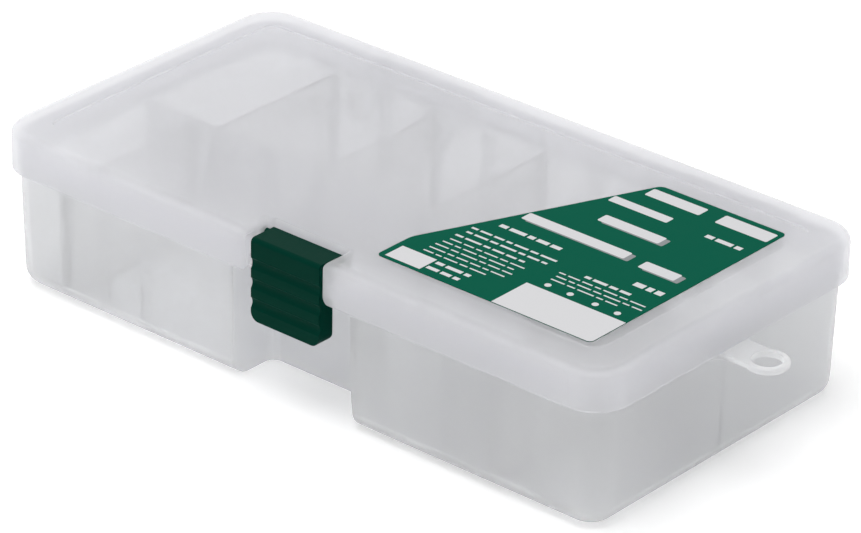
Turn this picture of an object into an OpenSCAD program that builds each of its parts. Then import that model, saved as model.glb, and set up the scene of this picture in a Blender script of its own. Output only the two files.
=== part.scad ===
// Fly box: a translucent tray and lid, a green front latch and six loose dividers.
// The origin is the middle of the tray's underside. X runs along the box with the
// eyelet on its +X end, the latch is on the -Y side, and Z is up. Sizes are in mm.

/* [Lid] */
// Length of the lid along X
lid_w = 199.2; // [190:0.2:204]
// Depth of the lid along Y
lid_d = 103.8; // [98:0.2:108]
// Height of the closed box
box_h = 45; // [44.5:0.5:48]
// Height of the lower edge of the lid's skirt
skirt_z = 33.2; // [33:0.1:33.6]
// Corner radius of the lid seen from above
lid_corner_r = 10.2; // [8:0.2:12]
// Radius of the lid's top edge
lid_edge_r = 2.4; // [1.6:0.2:3]
// Radius of the lower edge of the lid's skirt
skirt_edge_r = 0.5; // [0.2:0.1:0.7]
// Wall of the lid
lid_wall = 1.5; // [1.2:0.1:1.6]
// Depth of the shallow panel that is sunk in the lid's top
panel_sink = 0.5; // [0.3:0.1:0.6]
// Width of the border round that panel
panel_border = 9.6; // [9.4:0.1:10]

/* [Tray] */
// How far the tray's rim stands in from the lid's outside
tray_inset = 2.4; // [2.2:0.1:2.6]
// How much further in the tray's foot stands on each side
foot_inset = 0.6; // [0.3:0.1:1]
// Height of the tray's rim
rim_z = 36; // [35.6:0.1:36.2]
// Corner radius of the tray seen from above
tray_corner_r = 7.2; // [6.4:0.2:8]
// Radius of the tray's lower edge
tray_edge_r = 5.2; // [4:0.2:5.4]
// Wall of the tray
tray_wall = 1.6; // [1.4:0.1:1.8]
// Thickness of the floor
floor_t = 1.8; // [1.5:0.1:2]
// Thickness of the lengthwise wall between the two rows
middle_t = 1.4; // [1.2:0.1:1.6]

/* [Finger recess] */
// Width of the recess in the front wall
recess_w = 38.6; // [36:0.2:42]
// Where the recess ends, behind the middle of the box's front
recess_back_y = -34.5; // [-36:0.1:-34]
// Radius of the recess's inner corners
recess_corner_r = 3; // [2:0.1:4]
// Height of the ledge over the recess, which the latch hooks under
ledge_z = 33.9; // [33.7:0.1:34.1]

/* [Dividers] */
// Spacing of the slots in the back row
back_pitch = 17.95; // [17:0.05:18.5]
// Place of the first slot in the front row, from the middle
front_first = 50.3; // [49:0.1:52]
// Spacing of the slots in the front row
front_pitch = 14; // [13:0.1:14.4]
// Thickness of a divider
divider_t = 1.2; // [1:0.1:1.4]
// Height of the dividers' and slot ribs' top edge
divider_z = 34; // [32:0.2:35]
// Thickness of a slot rib
rib_t = 1; // [0.8:0.1:1.2]
// How far a slot rib stands out of its wall
rib_out = 1.6; // [1.3:0.1:2]
// Play between a divider and each rib beside it
slot_play = 0.2; // [0.1:0.05:0.3]

/* [Latch] */
// Width of the latch
latch_w = 22.4; // [21.6:0.2:24]
// Front face of the latch
latch_front_y = -51.6; // [-51.8:0.1:-51.5]
// Height of the latch's top
latch_top_z = 43; // [42.8:0.1:43.2]
// Height of the latch's lower edge
latch_low_z = 20.4; // [19:0.1:22]
// Thickness of the latch's front plate and lip
latch_t = 1.7; // [1.5:0.1:1.7]
// Height of the pivot
pivot_z = 41.5; // [41.4:0.1:41.6]
// Distance of the pivot behind the box's middle
pivot_y = -44.2; // [-44.4:0.1:-44.1]
// Radius of the pivot's barrel
barrel_r = 1.5; // [1.3:0.1:1.6]
// Radius of the stub pins
stub_r = 1; // [0.8:0.1:1.1]
// How far the hook and its side webs reach back
hook_back_y = -46.5; // [-46.8:0.1:-46]
// Radius of the rounded edge along the top of the front face
latch_edge_r = 1.2; // [0.8:0.1:1.6]
// Where the flat lip ends, just behind the pivot
lip_back_y = -42.9; // [-43:0.05:-42.85]
// Radius of the lower corners seen from the front
latch_corner_r = 2.5; // [1.5:0.1:3.5]
// Radius of the grip grooves
groove_r = 2.2; // [2:0.1:3]
// Depth of the grip grooves
groove_depth = 0.6; // [0.4:0.1:0.8]
// Spacing of the grip grooves
groove_pitch = 5.45; // [5:0.05:5.6]

/* [Hinge] */
// Distance of the hinge axis behind the box's middle
hinge_y = 62.1; // [61:0.1:63]
// Height of the hinge axis
hinge_z = 31; // [30:0.1:31.5]
// Radius of the knuckles
knuckle_r = 4; // [3.4:0.1:4.4]
// Distance of each hinge from the middle
hinge_x = 52; // [44:1:60]
// Width of the lid's arm
arm_w = 20; // [14:1:24]
// Width of each of the tray's lugs
lug_w = 6; // [5:0.5:8]
// Radius of the steel pins
pin_r = 1.25; // [1:0.05:1.5]

/* [Eyelet] */
// Distance of the eyelet's hole from the box's middle
eye_x = 108.8; // [108:0.1:109.4]
// Radius of the hole
eye_hole_r = 4; // [3.5:0.1:4.2]
// Radius of the tab's round end
eye_r = 5.6; // [5.4:0.1:6.4]
// Thickness of the tab
eye_t = 1.6; // [1.4:0.1:2.4]
// Height of the tab's upper face
eye_top_z = 32.8; // [31:0.1:32.9]
// Radius of the hollows where the tab meets the wall
eye_flare_r = 4; // [3:0.1:5]

/* [Latch pocket] */
// Room beside the latch on each side
pocket_side = 1.5; // [1.2:0.1:1.8]
// Back face of the pocket
pocket_back_y = -42.1; // [-42.3:0.1:-41.8]
// Height of the pocket's floor
pocket_floor_z = 39.4; // [39.2:0.1:39.5]
// Radius of the rounding along the pocket's top edges
pocket_round_r = 2; // [1.2:0.1:2]
// Radius of the skirt's lower corners beside the latch, seen from the front
skirt_corner_r = 2.3; // [1:0.1:3]

/* [Label] */
// Right, front and back edges of the label
label_right = 86.1; // [84:0.1:88]
label_front = -39.7; // [-41:0.1:-38]
label_back = 36.8; // [34:0.1:38]
// Left edge, at the front corner
label_left = 19.2; // [18:0.1:24]
// Left end of the label's back edge, where its slant begins
label_slant_x = 47; // [44:0.1:52]
// Front end of the slant
label_slant_y = -26.8; // [-30:0.1:-24]
// Thickness of the label
label_t = 0.2; // [0.15:0.05:0.25]

/* [Hidden] */
$fn = 64;

// Facets of the few round forms that are drawn over a hull
hull_fn = 32;
// Play between a pin and its bore, play between moving parts, and overshoot of a cut
pin_play = 0.05;
gap = 0.4;
over = 1;
skin = 0.01;

lid_hx = lid_w / 2;
lid_hy = lid_d / 2;
panel_z = box_h - panel_sink;
// Underside of the lid's top
ceiling_z = panel_z - lid_wall;
tray_hx = lid_hx - tray_inset;
tray_hy = lid_hy - tray_inset;
// Inner face of the tray's wall at the rim, and radius of the edge round its floor
wall_in_y = tray_hy - tray_wall;
floor_edge_r = tray_edge_r - tray_wall;
// The lid's seat hangs over the tray's rim and stops just above it
seat_z = rim_z + 0.25;
seat_t = 1.3;
seat_inset = tray_inset + 0.3;

slot_w = divider_t + 2 * slot_play;
back_slots = [for (i = [-4:4]) i * back_pitch];
front_slots = [for (s = [-1, 1], i = [0:2]) s * (front_first + i * front_pitch)];
// Place along X and row of each divider: 1 is the back row, -1 the front row
dividers = [[back_slots[0], 1], [back_slots[2], 1], [back_slots[4], 1], [back_slots[6], 1],
    [front_slots[2], -1], [front_slots[4], -1]];
// Length that a divider fills across its row
divider_y0 = middle_t / 2 + slot_play;
divider_y1 = wall_in_y - slot_play;

// The latch's pocket in the lid
pocket_hx = latch_w / 2 + pocket_side;
pocket_wall = 1.5;
pocket_corner_r = 1.2;
// Under the pocket the lid is open as far back as this, just behind the latch's plate
pocket_mouth_y = latch_front_y + latch_t + gap;
hook_low_z = 30.6;
web_t = 1.8;
web_corner_r = 1.4;
lip_corner_r = 0.5;
// The top of the hook is struck round the pivot, just outside the ledge's front edge
hook_arc_r = norm([-tray_hy - pivot_y, ledge_z - pivot_z]) + 0.3;
groove_mid_z = 30.75;
stub_out = 2.8;

lug_x = arm_w / 2 + gap;
pin_len = 2 * (lug_x + lug_w) - 0.4;

clear_pp = [0.86, 0.87, 0.89, 0.55];
divider_pp = [0.9, 0.91, 0.92, 0.8];
green_pp = [0.02, 0.25, 0.19];
green_film = [0.02, 0.37, 0.28];

// Point where a line from p touches the circle of radius r round c, on one side or the other
function tangent(c, r, p, side) =
    let (d = p - c, a = atan2(d[1], d[0]) + side * acos(r / norm(d)))
    c + r * [cos(a), sin(a)];

// Outline of a rectangle with round corners, centred on the origin
module rounded(hx, hy, r) {
    square([2 * (hx - r), 2 * hy], center = true);
    square([2 * hx, 2 * (hy - r)], center = true);
    for (sx = [-1, 1], sy = [-1, 1])
        translate([sx * (hx - r), sy * (hy - r)])
            circle(r);
}

// Outline of a rectangle with round corners, from its low corner to its high one
module rounded_box(low, high, r) {
    half = (high - low) / 2;
    translate((low + high) / 2)
        rounded(half[0], half[1], r);
}

// Extrudes an outline drawn in Y and Z along X, centred on x
module along_x(x, w) {
    translate([x - w / 2, 0, 0])
        rotate([90, 0, 90])
            linear_extrude(w)
                children();
}

// Disc of radius r whose rim is rounded by edge_r, with its middle at z = 0
module round_disc(r, edge_r) {
    rotate_extrude()
        intersection() {
            translate([r - edge_r, 0])
                circle(edge_r);
            translate([0, -edge_r])
                square([r, 2 * edge_r]);
        }
}

// Drafted tub with a rounded lower edge, standing in from the tray's outside by inset
module tub(inset, base_z, top_z, edge_r) {
    r = tray_corner_r - inset;
    cx = tray_hx - inset - r;
    cy = tray_hy - inset - r;
    hull($fn = hull_fn)
        for (sx = [-1, 1], sy = [-1, 1]) {
            translate([sx * cx, sy * cy, top_z - skin])
                cylinder(r = r, h = skin);
            translate([sx * (cx - foot_inset), sy * (cy - foot_inset), base_z + edge_r])
                round_disc(r, edge_r);
        }
}

// Cap with rounded lower and top edges, standing in from the lid's outside by inset
module cap(inset, low_z, low_r, top_z, edge_r) {
    r = lid_corner_r - inset;
    hull($fn = hull_fn)
        for (sx = [-1, 1], sy = [-1, 1])
            translate([sx * (lid_hx - inset - r), sy * (lid_hy - inset - r), 0]) {
                translate([0, 0, low_z + low_r])
                    round_disc(r, low_r);
                translate([0, 0, top_z - edge_r])
                    round_disc(r, edge_r);
            }
}

// The pairs of ribs that hold a divider's end, standing out of a wall at y
module slot_ribs(slots, y) {
    for (x = slots, s = [-1, 1])
        translate([x + s * (slot_w + rib_t) / 2 - rib_t / 2, y, floor_t - over])
            cube([rib_t, rib_out + over, divider_z - floor_t + over]);
}

// Outline of the finger recess, or of its wall when grown by that wall's thickness
module recess_outline(grow, front_y) {
    rounded_box([-recess_w / 2 - grow, front_y], [recess_w / 2 + grow, recess_back_y + grow],
        recess_corner_r + grow);
}

module recess_wall() {
    linear_extrude(ledge_z + tray_wall)
        recess_outline(tray_wall, -tray_hy - 2 * recess_corner_r);
}

module recess_space() {
    translate([0, 0, -over])
        linear_extrude(ledge_z + over)
            recess_outline(0, -tray_hy - 3 * recess_corner_r);
}

module eyelet() {
    root_x = tray_hx - tray_wall;
    neck = eye_r - 0.6;
    difference() {
        translate([0, 0, eye_top_z - eye_t])
            linear_extrude(eye_t) {
                translate([eye_x, 0])
                    circle(eye_r);
                translate([root_x, -neck])
                    square([eye_x - root_x, 2 * neck]);
                difference() {
                    translate([root_x, -neck - eye_flare_r])
                        square([eye_flare_r + tray_wall, 2 * (neck + eye_flare_r)]);
                    for (s = [-1, 1])
                        translate([tray_hx + eye_flare_r, s * (neck + eye_flare_r)])
                            circle(eye_flare_r);
                }
            }
        translate([eye_x, 0, eye_top_z - eye_t - over])
            cylinder(r = eye_hole_r, h = eye_t + 2 * over);
    }
}

// One of the tray's hinge lugs: a gusset on the back wall that ends in a knuckle
module lug(x) {
    axis = [hinge_y, hinge_z];
    root_y = tray_hy - tray_wall / 2;
    top = [hinge_y - 7, skirt_z - 0.7];
    low = [root_y, 21.5];
    difference() {
        along_x(x, lug_w) {
            translate(axis)
                circle(knuckle_r);
            polygon([low, tangent(axis, knuckle_r, low, 1), axis, tangent(axis, knuckle_r, top, -1), top,
                [root_y, top[1]]]);
        }
        along_x(x, lug_w + 2 * over)
            translate(axis)
                circle(pin_r + pin_play / 2);
    }
}

// One of the lid's hinge arms: it leaves the skirt and ends in a knuckle between two lugs
module arm(x) {
    axis = [hinge_y, hinge_z];
    root_y = lid_hy - lid_wall / 2;
    top = [lid_hy + 2.6, skirt_z + 5.4];
    low = [lid_hy + 2, skirt_z];
    difference() {
        along_x(x, arm_w) {
            translate(axis)
                circle(knuckle_r);
            polygon([[root_y, skirt_z], [root_y, top[1]], top, tangent(axis, knuckle_r, top, -1), axis,
                tangent(axis, knuckle_r, low, 1), low]);
        }
        along_x(x, arm_w + 2 * over)
            translate(axis)
                circle(pin_r + pin_play);
    }
}

module tray() {
    color(clear_pp) {
        difference() {
            intersection() {
                tub(0, 0, rim_z, tray_edge_r);
                union() {
                    difference() {
                        translate([-lid_hx, -lid_hy, -over])
                            cube([lid_w, lid_d, rim_z + 2 * over]);
                        tub(tray_wall, floor_t, rim_z + over, floor_edge_r);
                    }
                    translate([-tray_hx, -middle_t / 2, 0])
                        cube([2 * tray_hx, middle_t, divider_z + 1]);
                    slot_ribs(back_slots, wall_in_y - rib_out);
                    slot_ribs(back_slots, middle_t / 2 - over);
                    slot_ribs(front_slots, -wall_in_y - over);
                    slot_ribs(front_slots, -middle_t / 2 - rib_out);
                    recess_wall();
                }
            }
            recess_space();
        }
        eyelet();
        for (x = [-hinge_x, hinge_x], s = [-1, 1])
            lug(x + s * (lug_x + lug_w / 2));
    }
}

// Solid that carries the latch's pocket
module pocket_block() {
    translate([0, 0, pocket_floor_z - pocket_wall])
        linear_extrude(box_h)
            rounded_box([-pocket_hx - pocket_wall, -2 * lid_hy],
                [pocket_hx + pocket_wall, pocket_back_y + pocket_wall], pocket_corner_r + pocket_wall);
}

// Section of the cut that rounds off an edge, from the wall at the origin out to the radius r
module round_off(r) {
    difference() {
        translate([-over, 0])
            square([r + over, r + over]);
        translate([r, 0])
            circle(r);
    }
}

// The cut that rounds off the pocket's top edges along its sides, its back and round its corners
module pocket_rounding() {
    corner = [pocket_hx - pocket_corner_r, pocket_back_y - pocket_corner_r];
    translate([0, 0, box_h - pocket_round_r]) {
        for (s = [-1, 1]) {
            translate([s * pocket_hx, corner[1], 0])
                rotate([90, 0, 0])
                    linear_extrude(lid_d)
                        scale([s, 1])
                            round_off(pocket_round_r);
            translate([s * corner[0], corner[1], 0])
                rotate_extrude()
                    translate([pocket_corner_r, 0])
                        round_off(pocket_round_r);
        }
        along_x(0, 2 * corner[0])
            translate([pocket_back_y, 0])
                round_off(pocket_round_r);
    }
}

module pocket_space() {
    translate([0, 0, pocket_floor_z])
        linear_extrude(box_h)
            rounded_box([-pocket_hx, -2 * lid_hy], [pocket_hx, pocket_back_y], pocket_corner_r);
    pocket_rounding();
    translate([0, pocket_mouth_y, skirt_z])
        rotate([90, 0, 0])
            linear_extrude(lid_d) {
                translate([-pocket_hx, -over])
                    square([2 * pocket_hx, box_h]);
                for (s = [-1, 1])
                    translate([s * pocket_hx, 0])
                        scale([s, 1])
                            difference() {
                                translate([-over, -over])
                                    square([skirt_corner_r + over, skirt_corner_r + over]);
                                translate([skirt_corner_r, skirt_corner_r])
                                    circle(skirt_corner_r);
                            }
            }
}

// Ring under the lid's top that rests over the tray's rim
module seat_ring() {
    translate([0, 0, seat_z])
        linear_extrude(box_h - seat_z)
            difference() {
                rounded(lid_hx - seat_inset, lid_hy - seat_inset, lid_corner_r - seat_inset);
                rounded(lid_hx - seat_inset - seat_t, lid_hy - seat_inset - seat_t,
                    lid_corner_r - seat_inset - seat_t);
            }
}

module lid() {
    color(clear_pp) {
        difference() {
            intersection() {
                cap(0, skirt_z, skirt_edge_r, box_h, lid_edge_r);
                union() {
                    difference() {
                        translate([-lid_hx - over, -lid_hy - over, skirt_z - over])
                            cube([lid_w + 2 * over, lid_d + 2 * over, box_h]);
                        cap(lid_wall, skirt_z - 2 * over, skin, ceiling_z, lid_edge_r - lid_wall / 2);
                    }
                    pocket_block();
                    seat_ring();
                }
            }
            translate([0, 0, panel_z])
                linear_extrude(over)
                    rounded(lid_hx - panel_border, lid_hy - panel_border, lid_corner_r / 3);
            pocket_space();
            along_x(0, 2 * (pocket_hx + pocket_wall + over))
                translate([pivot_y, pivot_z])
                    circle(stub_r + pin_play);
        }
        for (x = [-hinge_x, hinge_x])
            arm(x);
    }
}

// Outline of the latch's plate and lip, seen from the end
module latch_profile() {
    back_y = latch_front_y + latch_t;
    lip_low_z = latch_top_z - latch_t;
    translate([latch_front_y, latch_low_z])
        square([latch_t, lip_low_z - latch_low_z]);
    translate([latch_front_y + latch_edge_r, lip_low_z])
        square([pivot_y - latch_front_y - latch_edge_r, latch_t]);
    translate([latch_front_y, lip_low_z])
        square([latch_edge_r, latch_t - latch_edge_r]);
    translate([latch_front_y + latch_edge_r, latch_top_z - latch_edge_r])
        circle(latch_edge_r);
    // The lip's square back end and the fillet where the lip leaves the plate
    rounded_box([pivot_y - barrel_r, pivot_z - stub_r], [lip_back_y, latch_top_z], lip_corner_r);
    difference() {
        translate([back_y - skin, lip_low_z - lip_corner_r])
            square([lip_corner_r + skin, lip_corner_r + skin]);
        translate([back_y + lip_corner_r, lip_low_z - lip_corner_r])
            circle(lip_corner_r);
    }
    translate([pivot_y, pivot_z])
        circle(barrel_r);
}

// Cross-section of the hook, or of a side web when it starts at the latch's lower edge
module hook_profile(low_z, r) {
    difference() {
        rounded_box([latch_front_y + latch_t - r, low_z], [hook_back_y, pivot_z - barrel_r], r);
        translate([pivot_y, pivot_z])
            circle(hook_arc_r);
    }
}

module latch() {
    color(green_pp) {
        difference() {
            intersection() {
                union() {
                    along_x(0, latch_w)
                        latch_profile();
                    along_x(0, latch_w)
                        hook_profile(hook_low_z, 0.6);
                    for (s = [-1, 1])
                        along_x(s * (latch_w - web_t) / 2, web_t)
                            hook_profile(latch_low_z, web_corner_r);
                }
                rotate([90, 0, 0])
                    linear_extrude(lid_d)
                        rounded_box([-latch_w / 2, latch_low_z], [latch_w / 2, box_h + 2 * latch_corner_r],
                            latch_corner_r);
            }
            for (i = [-1:1])
                along_x(0, latch_w + 2 * over)
                    translate([latch_front_y - groove_r + groove_depth, groove_mid_z + i * groove_pitch])
                        circle(groove_r);
        }
        along_x(0, latch_w + 2 * stub_out)
            translate([pivot_y, pivot_z])
                circle(stub_r);
    }
}

module label() {
    color(green_film)
        translate([0, 0, panel_z])
            linear_extrude(label_t)
                polygon([[label_left, label_front], [label_right, label_front], [label_right, label_back],
                    [label_slant_x, label_back], [label_left, label_slant_y]]);
}

module divider(place) {
    // The lower outer corner follows the rounded edge of the floor
    foot_y = divider_y1 - foot_inset;
    corner = [foot_y - floor_edge_r, floor_t + floor_edge_r];
    color(divider_pp)
        along_x(place[0], divider_t)
            scale([place[1], 1]) {
                polygon([[divider_y0, floor_t], [corner[0], floor_t], [foot_y, corner[1]],
                    [divider_y1, divider_z], [divider_y0, divider_z]]);
                translate(corner)
                    circle(floor_edge_r);
            }
}

module hinge_pin(x) {
    color("silver")
        along_x(x, pin_len)
            translate([hinge_y, hinge_z])
                circle(pin_r);
}

module divider_1() { divider(dividers[0]); }
module divider_2() { divider(dividers[1]); }
module divider_3() { divider(dividers[2]); }
module divider_4() { divider(dividers[3]); }
module divider_5() { divider(dividers[4]); }
module divider_6() { divider(dividers[5]); }
module hinge_pin_left() { hinge_pin(-hinge_x); }
module hinge_pin_right() { hinge_pin(hinge_x); }

tray();
lid();
latch();
label();
divider_1();
divider_2();
divider_3();
divider_4();
divider_5();
divider_6();
hinge_pin_left();
hinge_pin_right();
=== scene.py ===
"""Looks of a flat fly box: a see-through polypropylene tray and lid, a green latch, a printed label
and six loose dividers. Lengths are in metres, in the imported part's own frame: X runs along the box
towards the eyelet, -Y is the latch side, and Z is up."""
import math
import bmesh
import bpy
from mathutils import Matrix, Vector


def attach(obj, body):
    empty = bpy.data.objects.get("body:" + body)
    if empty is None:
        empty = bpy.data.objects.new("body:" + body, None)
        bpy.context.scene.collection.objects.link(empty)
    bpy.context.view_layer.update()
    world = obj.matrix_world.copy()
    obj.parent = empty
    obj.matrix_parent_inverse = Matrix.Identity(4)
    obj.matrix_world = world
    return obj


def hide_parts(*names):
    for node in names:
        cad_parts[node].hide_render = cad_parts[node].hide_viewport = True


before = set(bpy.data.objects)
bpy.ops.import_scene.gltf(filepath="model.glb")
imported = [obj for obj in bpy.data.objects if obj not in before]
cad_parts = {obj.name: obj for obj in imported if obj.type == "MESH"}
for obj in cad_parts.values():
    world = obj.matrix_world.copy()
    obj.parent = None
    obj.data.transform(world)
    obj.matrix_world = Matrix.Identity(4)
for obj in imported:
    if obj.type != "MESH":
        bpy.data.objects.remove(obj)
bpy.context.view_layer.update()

MM = 0.001
DIVIDERS = 6

# Camera, fitted to the photograph
IMAGE_WIDTH = 861
FOCAL_PX = 4896.3
SENSOR = 36.0
AZIMUTH = math.radians(40.165)
ELEVATION = math.radians(27.286)
ROLL = math.radians(1.203)
AIM = Vector((2.25, 0.82, 20.0)) * MM
DISTANCE = 1236.6 * MM
CLIP_NEAR, CLIP_FAR = 0.05, 20.0

# Studio: two large soft lamps over a pale floor, in an even surround. The surround lights the box with the
# strength SURROUND, and shows as white, which is a strength of 1, to the lens, to reflections and through
# clear plastic. FLOOR_LIFT is a glow in the floor that the same rays see. The floor lies a hair below the
# tray, so that their faces don't share a plane, and reaches this far from the middle to each side.
WHITE = "#FFFFFF"
FLOOR_REACH = 6.0
FLOOR_GAP = 0.1 * MM
FLOOR_GREY = "#FAFAFA"
FLOOR_LIFT = 0.27
SURROUND = 0.5
LAMPS = {"lamp_above": {"place": (-0.1, -0.2, 1.4), "size": 1.0, "power": 10.0},
         "lamp_in_front": {"place": (0.3, -1.3, 0.25), "size": 1.0, "power": 3.3}}

# Meshes: doubles closer than MERGE are one corner, faces within FLAT of each other are one face,
# and an edge sharper than CREASE stays sharp
MERGE = 0.002 * MM
FLAT = math.radians(0.3)
CREASE = math.radians(28)

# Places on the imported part, in mm, that the soft edges are found by
PANEL_X, PANEL_Y = 90.0, 42.3
PANEL_HIGH, PANEL_LOW = 45.0, 44.5
PANEL_CORNER, PANEL_PLAY = 3.5, 0.1
POCKET_X = 17.0
RECESS_X, RECESS_FRONT, LEDGE_Z = 19.3, -46.0, 33.8
EYE_X, EYE_TOP, EYE_LOW = 108.8, 32.8, 31.2
EYE_ROOT, EYE_HOLE = 97.8, 4.5
NEAR = 0.02

# The soft edges' widths in mm, and how many facets round each
RECESS_ROUND = {"width": 1.2, "segments": 4}
EYELET_ROUND = {"width": 0.4, "segments": 3}
PANEL_ROUND = {"width": 0.2, "segments": 2}

# Natural polypropylene has no dye. milk is the share of a wall's skin that scatters light, and through is
# how much of that it scatters on inwards. The rest of the skin is clear: straight is the part of it that
# lets light straight through in the colour tint, and the other part is glossy, as rough as rough, and
# bends light in the colour clear.
MILK_WHITE = "#FDFDFD"
POLYPROPYLENE_IOR = 1.49
LID_PLASTIC = {"milk": 0.34, "through": 0.6, "rough": 0.05,
               "clear": "#F8F8FA", "straight": 0.85, "tint": "#F8F8FA"}
TRAY_PLASTIC = {"milk": 0.40, "through": 0.65, "rough": 0.04,
                "clear": "#FAFBFD", "straight": 0.1, "tint": "#F6F7FA"}
DIVIDER_PLASTIC = {"milk": 0.3, "through": 0.45, "rough": 0.03,
                   "clear": "#FFFFFF", "straight": 0.0, "tint": "#FCFCFD"}

# Sizes of the surfaces' own patterns, how far the roughness drifts in them, and between which values a
# noise mostly stays
MELT_FLOW = 30 * MM
MOULD_POLISH = 0.6 * MM
SPARK_GRAIN = 0.8 * MM
FINGERTIP = 9 * MM
BUMP_DEPTH = 0.1 * MM
SATIN_DRIFT = 0.03
TOUCH_DRIFT = 0.05
NOISE_LOW, NOISE_HIGH = 0.3, 0.7

# Colours of the opaque surfaces
LATCH_GREEN = "#003227"
FILM_GREEN = "#005A45"
WHITE_INK = "#DADADC"
GREY_INK = "#8E9294"
STEEL = "#C9C9CB"

# The label, in mm: its film, and a generic print on it as thin plates of ink. A bar is its left and
# right end, its middle line and its height. A line of print is cut to the lengths of words.
FILM_LOW, FILM_TOP = 44.5, 44.7
SHADE_TOP, INK_TOP = 44.715, 44.73
FILM_CORNER, BAR_CORNER = 1.4, 0.5
FILM_OUTLINE = ((19.2, -39.7), (86.1, -39.7), (86.1, 36.8), (47.0, 36.8), (19.2, -26.8))
LARGE_PANEL = ((55.6, -39.7), (86.1, -39.7), (86.1, -26.4), (55.6, -26.4))
SMALL_PANEL = ((21.0, -38.6), (32.0, -38.6), (32.0, -32.0), (21.0, -32.0))
TITLE_BARS = ((46.9, 66.0, 13.0, 3.8), (32.5, 64.8, 1.0, 3.8), (70.0, 81.0, 0.0, 3.8))
SHADE_RIGHT, SHADE_DOWN = 1.6, 0.5
BANDS = ((42.0, 60.5, 23.0, 3.2), (69.0, 85.0, 32.3, 5.0), (46.7, 63.8, 32.2, 4.2))
BOLD_LINES = ((31.3, 51.6, -7.3, 1.5), (32.8, 43.5, -33.2, 1.3), (32.6, 44.0, -36.4, 1.3),
              (64.0, 78.0, -14.5, 1.1), (72.0, 83.7, 22.6, 1.6), (75.0, 83.7, -9.2, 2.0))
FINE_LINES = ((27.0, 54.0, -13.0, 0.8), (27.5, 53.0, -15.6, 0.8), (26.5, 50.0, -18.6, 0.8),
              (27.0, 50.5, -21.2, 0.5), (26.5, 49.0, -23.4, 0.5), (26.0, 51.0, -25.6, 0.5),
              (26.0, 51.0, -27.8, 0.5), (26.0, 47.0, -30.0, 0.5), (58.0, 84.5, -17.0, 0.5),
              (58.7, 85.0, -19.0, 0.5), (58.7, 80.0, -21.0, 0.5))
WORD_LENGTHS = (3.1, 1.8, 4.2, 2.4, 5.0, 2.0, 3.6)
WORD_GAP, SHORTEST_WORD = 0.8, 1.0
DOT_Y, DOT_R, DOT_SIDES = -24.0, 0.9, 16
DOT_XS = (60.2, 67.1, 74.8, 81.6)
CORNER_STEPS = 6


def srgb(hex_colour):
    """A linear colour with alpha from an sRGB hex value."""
    def linear(part):
        value = int(part, 16) / 255
        return value / 12.92 if value <= 0.04045 else ((value + 0.055) / 1.055) ** 2.4
    return tuple(linear(hex_colour[i:i + 2]) for i in (1, 3, 5)) + (1.0,)


def add(tree, kind, inputs=None, **settings):
    """Adds a node with its settings. An input is a value, or a socket to link from."""
    node = tree.nodes.new(kind)
    for name, value in settings.items():
        setattr(node, name, value)
    for name, value in (inputs or {}).items():
        if isinstance(value, bpy.types.NodeSocket):
            tree.links.new(value, node.inputs[name])
        else:
            node.inputs[name].default_value = value
    return node


def material(name):
    """An empty node material and its output node."""
    made = bpy.data.materials.new(name)
    made.use_nodes = True
    made.node_tree.nodes.clear()
    return made, made.node_tree, made.node_tree.nodes.new("ShaderNodeOutputMaterial")


def natural_polypropylene(name, milk, through, rough, clear, straight, tint):
    """Injection-moulded natural polypropylene. The wall looks like thin frosted glass with milk in it:
    ribs and dividers that touch it show as soft stripes, what lies further in goes dim, and the whole
    box glows evenly with the light that wanders about inside it. The roughness drifts over 30 mm, as
    the melt's flow leaves it, and the bump is the mould's fine polish, drawn at 0.6 mm so that it
    breaks the reflections a little at the render's size."""
    made, tree, out = material(name)
    place = add(tree, "ShaderNodeTexCoord").outputs["Object"]
    flow = add(tree, "ShaderNodeTexNoise", {"Vector": place, "Scale": 1 / MELT_FLOW, "Detail": 2.0})
    satin = add(tree, "ShaderNodeMapRange", {
        "Value": flow.outputs["Fac"], "From Min": NOISE_LOW, "From Max": NOISE_HIGH,
        "To Min": rough - SATIN_DRIFT, "To Max": rough + SATIN_DRIFT})
    polish = add(tree, "ShaderNodeTexNoise", {"Vector": place, "Scale": 1 / MOULD_POLISH, "Detail": 3.0})
    bump = add(tree, "ShaderNodeBump", {
        "Height": polish.outputs["Fac"], "Strength": 0.04, "Distance": BUMP_DEPTH})
    bent = add(tree, "ShaderNodeBsdfPrincipled", {
        "Base Color": srgb(clear), "Roughness": satin.outputs["Result"], "IOR": POLYPROPYLENE_IOR,
        "Transmission Weight": 1.0, "Normal": bump.outputs["Normal"]})
    unbent = add(tree, "ShaderNodeBsdfTransparent", {"Color": srgb(tint)})
    seen_through = add(tree, "ShaderNodeMixShader", {
        0: straight, 1: bent.outputs["BSDF"], 2: unbent.outputs["BSDF"]})
    scattered_back = add(tree, "ShaderNodeBsdfDiffuse", {"Color": srgb(MILK_WHITE)})
    scattered_on = add(tree, "ShaderNodeBsdfTranslucent", {"Color": srgb(MILK_WHITE)})
    milky = add(tree, "ShaderNodeMixShader", {
        0: through, 1: scattered_back.outputs["BSDF"], 2: scattered_on.outputs["BSDF"]})
    skin = add(tree, "ShaderNodeMixShader", {
        0: milk, 1: seen_through.outputs["Shader"], 2: milky.outputs["Shader"]})
    tree.links.new(skin.outputs["Shader"], out.inputs["Surface"])
    return made


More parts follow.
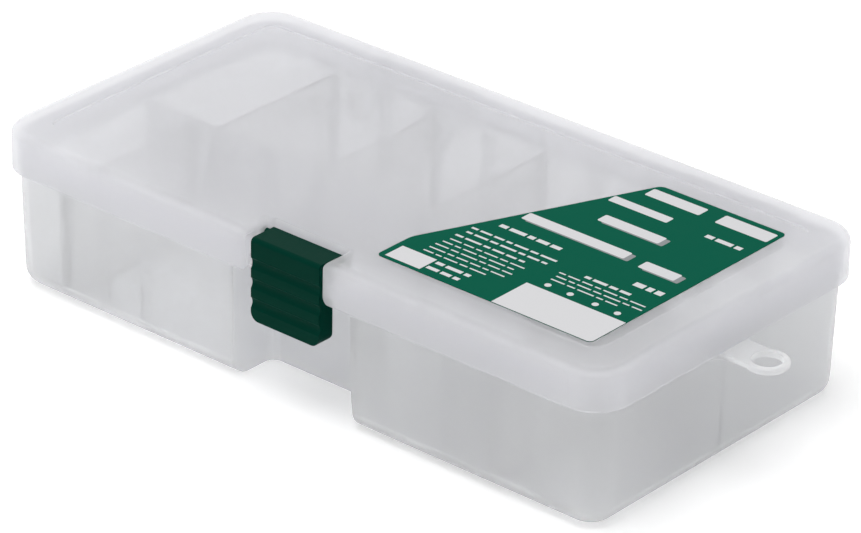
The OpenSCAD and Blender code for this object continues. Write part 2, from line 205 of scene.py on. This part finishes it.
def dyed_polypropylene():
    """Green-dyed, injection-moulded polypropylene of the latch. It is opaque and nearly black-green, with
    a low satin gloss that only lightens its edges. The grain of a spark-eroded mould is 0.8 mm here, a
    little coarser than the real one so that it shows."""
    made, tree, out = material("dyed_moulded_polypropylene")
    place = add(tree, "ShaderNodeTexCoord").outputs["Object"]
    grain = add(tree, "ShaderNodeTexNoise", {"Vector": place, "Scale": 1 / SPARK_GRAIN, "Detail": 3.0})
    gloss = add(tree, "ShaderNodeMapRange", {"Value": grain.outputs["Fac"], "To Min": 0.3, "To Max": 0.42})
    bump = add(tree, "ShaderNodeBump", {
        "Height": grain.outputs["Fac"], "Strength": 0.08, "Distance": BUMP_DEPTH})
    skin = add(tree, "ShaderNodeBsdfPrincipled", {
        "Base Color": srgb(LATCH_GREEN), "Roughness": gloss.outputs["Result"], "IOR": POLYPROPYLENE_IOR,
        "Specular IOR Level": 0.02, "Normal": bump.outputs["Normal"]})
    tree.links.new(skin.outputs["BSDF"], out.inputs["Surface"])
    return made


def handled_surface(name, colour, rough, metallic=0.0, shine=0.5):
    """A smooth surface whose gloss varies a little over 9 mm, the width of a fingertip's touch."""
    made, tree, out = material(name)
    place = add(tree, "ShaderNodeTexCoord").outputs["Object"]
    touch = add(tree, "ShaderNodeTexNoise", {"Vector": place, "Scale": 1 / FINGERTIP, "Detail": 2.0})
    gloss = add(tree, "ShaderNodeMapRange", {
        "Value": touch.outputs["Fac"], "To Min": rough - TOUCH_DRIFT, "To Max": rough + TOUCH_DRIFT})
    skin = add(tree, "ShaderNodeBsdfPrincipled", {
        "Base Color": srgb(colour), "Roughness": gloss.outputs["Result"], "Metallic": metallic,
        "Specular IOR Level": shine})
    tree.links.new(skin.outputs["BSDF"], out.inputs["Surface"])
    return made


def seen_directly(tree):
    """1 for a ray from the camera, a reflection or clear plastic, and 0 for one that only brings light."""
    path = add(tree, "ShaderNodeLightPath")
    seen = add(tree, "ShaderNodeMath", {0: path.outputs["Is Camera Ray"], 1: path.outputs["Is Glossy Ray"]},
               operation="MAXIMUM")
    seen = add(tree, "ShaderNodeMath", {0: seen.outputs["Value"], 1: path.outputs["Is Transmission Ray"]},
               operation="MAXIMUM")
    return seen.outputs["Value"]


def studio_floor():
    """A pale floor that keeps the box's shadow and shows as white where nothing shades it."""
    made, tree, out = material("studio_floor")
    matt = add(tree, "ShaderNodeBsdfDiffuse", {"Color": srgb(FLOOR_GREY)})
    lift = add(tree, "ShaderNodeMath", {0: seen_directly(tree), 1: FLOOR_LIFT}, operation="MULTIPLY")
    glow = add(tree, "ShaderNodeEmission", {"Color": srgb(WHITE), "Strength": lift.outputs["Value"]})
    both = add(tree, "ShaderNodeAddShader", {0: matt.outputs["BSDF"], 1: glow.outputs["Emission"]})
    tree.links.new(both.outputs["Shader"], out.inputs["Surface"])
    return made


def finish_mesh(name, bm, skin):
    """Makes an object of a bmesh, with its material and smooth shading up to a crease."""
    mesh = bpy.data.meshes.new(name)
    bm.to_mesh(mesh)
    bm.free()
    mesh.materials.append(skin)
    mesh.shade_smooth()
    mesh.set_sharp_from_angle(angle=CREASE)
    piece = bpy.data.objects.new(name, mesh)
    bpy.context.scene.collection.objects.link(piece)
    weigh = piece.modifiers.new("flat_faces_stay_flat", "WEIGHTED_NORMAL")
    weigh.keep_sharp = True
    return piece


def at_panel_step(x, y, z):
    """The step round the sunk panel in the lid's top, clear of the latch's pocket."""
    on_line = abs(abs(x) - PANEL_X) < PANEL_CORNER or abs(abs(y) - PANEL_Y) < PANEL_CORNER
    inside = abs(x) < PANEL_X + PANEL_PLAY and abs(y) < PANEL_Y + PANEL_PLAY
    level = abs(z - PANEL_HIGH) < NEAR or abs(z - PANEL_LOW) < NEAR
    return on_line and inside and level and (abs(x) > POCKET_X or y > 0)


def at_recess_mouth(x, y, z):
    """The two upright edges where the finger recess meets the tray's front."""
    return abs(abs(x) - RECESS_X) < NEAR and y < RECESS_FRONT and z < LEDGE_Z


def at_eyelet_rim(x, y, z):
    """The eyelet's outer rim, above and below."""
    outer = x > EYE_ROOT and math.hypot(x - EYE_X, y) > EYE_HOLE
    return outer and (abs(z - EYE_TOP) < NEAR or abs(z - EYE_LOW) < NEAR)


def soften(bm, wanted, width, segments):
    """Rounds the creased edges whose two ends are in a wanted place, given in mm."""
    edges = [edge for edge in bm.edges if edge.is_manifold and edge.calc_face_angle() > CREASE
             and all(wanted(*(vert.co / MM)) for vert in edge.verts)]
    bmesh.ops.bevel(bm, geom=edges, offset=width * MM, offset_type="OFFSET", segments=segments,
                    profile=0.5, affect="EDGES", clamp_overlap=False, material=-1)


def moulding(node, body, skin, soft_edges=()):
    """A merged copy of a CAD node, with smooth curved faces and soft edges, that stands for it."""
    bm = bmesh.new()
    bm.from_mesh(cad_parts[node].data)
    bmesh.ops.remove_doubles(bm, verts=bm.verts, dist=MERGE)
    bmesh.ops.dissolve_limit(bm, angle_limit=FLAT, verts=bm.verts, edges=bm.edges)
    for wanted, rounding in soft_edges:
        soften(bm, wanted, **rounding)
    bmesh.ops.dissolve_degenerate(bm, dist=MERGE, edges=bm.edges)
    piece = finish_mesh(node + "_moulding", bm, skin)
    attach(piece, body)
    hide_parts(node)


def bar(left, right, middle, height):
    """A bar's outline."""
    low, high = middle - height / 2, middle + height / 2
    return (left, low), (right, low), (right, high), (left, high)


def words(left, right, middle, height):
    """The outlines of one line of print: short bars of uneven lengths. Where the line lies sets which
    length comes first, so that the lines differ."""
    outlines, start, turn = [], left, int(left + abs(middle))
    while start < right - SHORTEST_WORD:
        end = min(start + WORD_LENGTHS[turn % len(WORD_LENGTHS)], right)
        outlines.append(bar(start, end, middle, height))
        start = end + WORD_GAP
        turn += 1
    return outlines


def dot(x):
    """A round dot's outline."""
    turns = [math.tau * step / DOT_SIDES for step in range(DOT_SIDES)]
    return [(x + DOT_R * math.cos(turn), DOT_Y + DOT_R * math.sin(turn)) for turn in turns]


def plates(name, shapes, low, high, skin):
    """Thin flat plates on the lid, raised together from low to high. Each shape is an outline, the radius
    of its round corners, and which of its corners are round."""
    bm = bmesh.new()
    for outline, radius, rounded in shapes:
        corners = [bm.verts.new((x * MM, y * MM, low * MM)) for x, y in outline]
        bm.faces.new(corners)
        if radius:
            bmesh.ops.bevel(bm, geom=[corners[i] for i in rounded], offset=radius * MM,
                            offset_type="OFFSET", segments=CORNER_STEPS, profile=0.5,
                            affect="VERTICES", material=-1)
    raised = bmesh.ops.extrude_face_region(bm, geom=list(bm.faces))["geom"]
    tops = [part for part in raised if isinstance(part, bmesh.types.BMVert)]
    bmesh.ops.translate(bm, vec=(0, 0, (high - low) * MM), verts=tops)
    bmesh.ops.recalc_face_normals(bm, faces=bm.faces)
    piece = finish_mesh(name, bm, skin)
    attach(piece, "lid")
    return piece


def label():
    """The printed sticker on the lid: glossy green polypropylene film, so dark that its gloss hardly shows,
    with panels, bars and fine lines of screen ink, which is matt and stands 0.03 mm proud."""
    all_four = range(4)
    green = handled_surface("printed_polypropylene_film", FILM_GREEN, rough=0.35, shine=0.01)
    whole = [(FILM_OUTLINE, FILM_CORNER, range(len(FILM_OUTLINE)))]
    film = plates("label_film", whole, FILM_LOW, FILM_TOP, green)
    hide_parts("label")
    shades = []
    for left, right, middle, height in TITLE_BARS:
        shade = bar(left + SHADE_RIGHT, right + SHADE_RIGHT, middle - SHADE_DOWN, height)
        shades.append((shade, BAR_CORNER, all_four))
    plates("label_ink_grey", shades, FILM_TOP, SHADE_TOP,
           handled_surface("grey_screen_ink", GREY_INK, rough=0.4, shine=0.1))
    white = [(LARGE_PANEL, FILM_CORNER, (1,)), (SMALL_PANEL, 0, ())]
    white += [(bar(*place), BAR_CORNER, all_four) for place in TITLE_BARS + BANDS]
    white += [(outline, 0, ()) for line in BOLD_LINES + FINE_LINES for outline in words(*line)]
    white += [(dot(x), 0, ()) for x in DOT_XS]
    plates("label_ink_white", white, FILM_TOP, INK_TOP,
           handled_surface("white_screen_ink", WHITE_INK, rough=0.4, shine=0.1))


def studio():
    """Pale floor, even surround, two soft lamps and the photograph's camera."""
    floor = bmesh.new()
    bmesh.ops.create_grid(floor, x_segments=1, y_segments=1, size=FLOOR_REACH,
                          matrix=Matrix.Translation((0, 0, -FLOOR_GAP)))
    finish_mesh("floor", floor, studio_floor())

    world = bpy.data.worlds.new("studio_surround")
    world.use_nodes = True
    tree = world.node_tree
    strength = add(tree, "ShaderNodeMapRange", {
        "Value": seen_directly(tree), "To Min": SURROUND, "To Max": 1.0})
    surround = tree.nodes["Background"]
    surround.inputs["Color"].default_value = srgb(WHITE)
    tree.links.new(strength.outputs["Result"], surround.inputs["Strength"])
    bpy.context.scene.world = world

    for name, fitting in LAMPS.items():
        lamp = bpy.data.lights.new(name, "AREA")
        lamp.size = fitting["size"]
        lamp.energy = fitting["power"]
        holder = bpy.data.objects.new(name, lamp)
        holder.location = fitting["place"]
        holder.rotation_euler = (AIM - holder.location).to_track_quat("-Z", "Y").to_euler()
        bpy.context.scene.collection.objects.link(holder)

    flat = math.cos(ELEVATION)
    back = Vector((math.sin(AZIMUTH) * flat, -math.cos(AZIMUTH) * flat, math.sin(ELEVATION)))
    right = (-back).cross(Vector((0, 0, 1))).normalized()
    turned = Matrix((right, back.cross(right), back)).transposed() @ Matrix.Rotation(ROLL, 3, "Z")
    view = bpy.data.cameras.new("photo_camera")
    view.sensor_width = SENSOR
    view.lens = FOCAL_PX * SENSOR / IMAGE_WIDTH
    view.clip_start, view.clip_end = CLIP_NEAR, CLIP_FAR
    camera = bpy.data.objects.new("photo_camera", view)
    camera.matrix_world = Matrix.Translation(AIM + back * DISTANCE) @ turned.to_4x4()
    bpy.context.scene.collection.objects.link(camera)
    bpy.context.scene.camera = camera
    bpy.context.scene.view_settings.view_transform = "Standard"


studio()
tray_skin = natural_polypropylene("natural_polypropylene_tray", **TRAY_PLASTIC)
lid_skin = natural_polypropylene("natural_polypropylene_lid", **LID_PLASTIC)
divider_skin = natural_polypropylene("natural_polypropylene_divider", **DIVIDER_PLASTIC)
moulding("tray", "tray", tray_skin,
         ((at_recess_mouth, RECESS_ROUND), (at_eyelet_rim, EYELET_ROUND)))
moulding("lid", "lid", lid_skin, ((at_panel_step, PANEL_ROUND),))
moulding("latch", "latch", dyed_polypropylene())
label()
for number in range(1, DIVIDERS + 1):
    moulding(f"divider_{number}", "tray", divider_skin)

# Drawn steel wire, cold and bright where a pin's end shows at the hinge
pin_skin = handled_surface("drawn_steel_wire", STEEL, rough=0.3, metallic=1.0)
for side in ("left", "right"):
    moulding(f"hinge_pin_{side}", "tray", pin_skin)
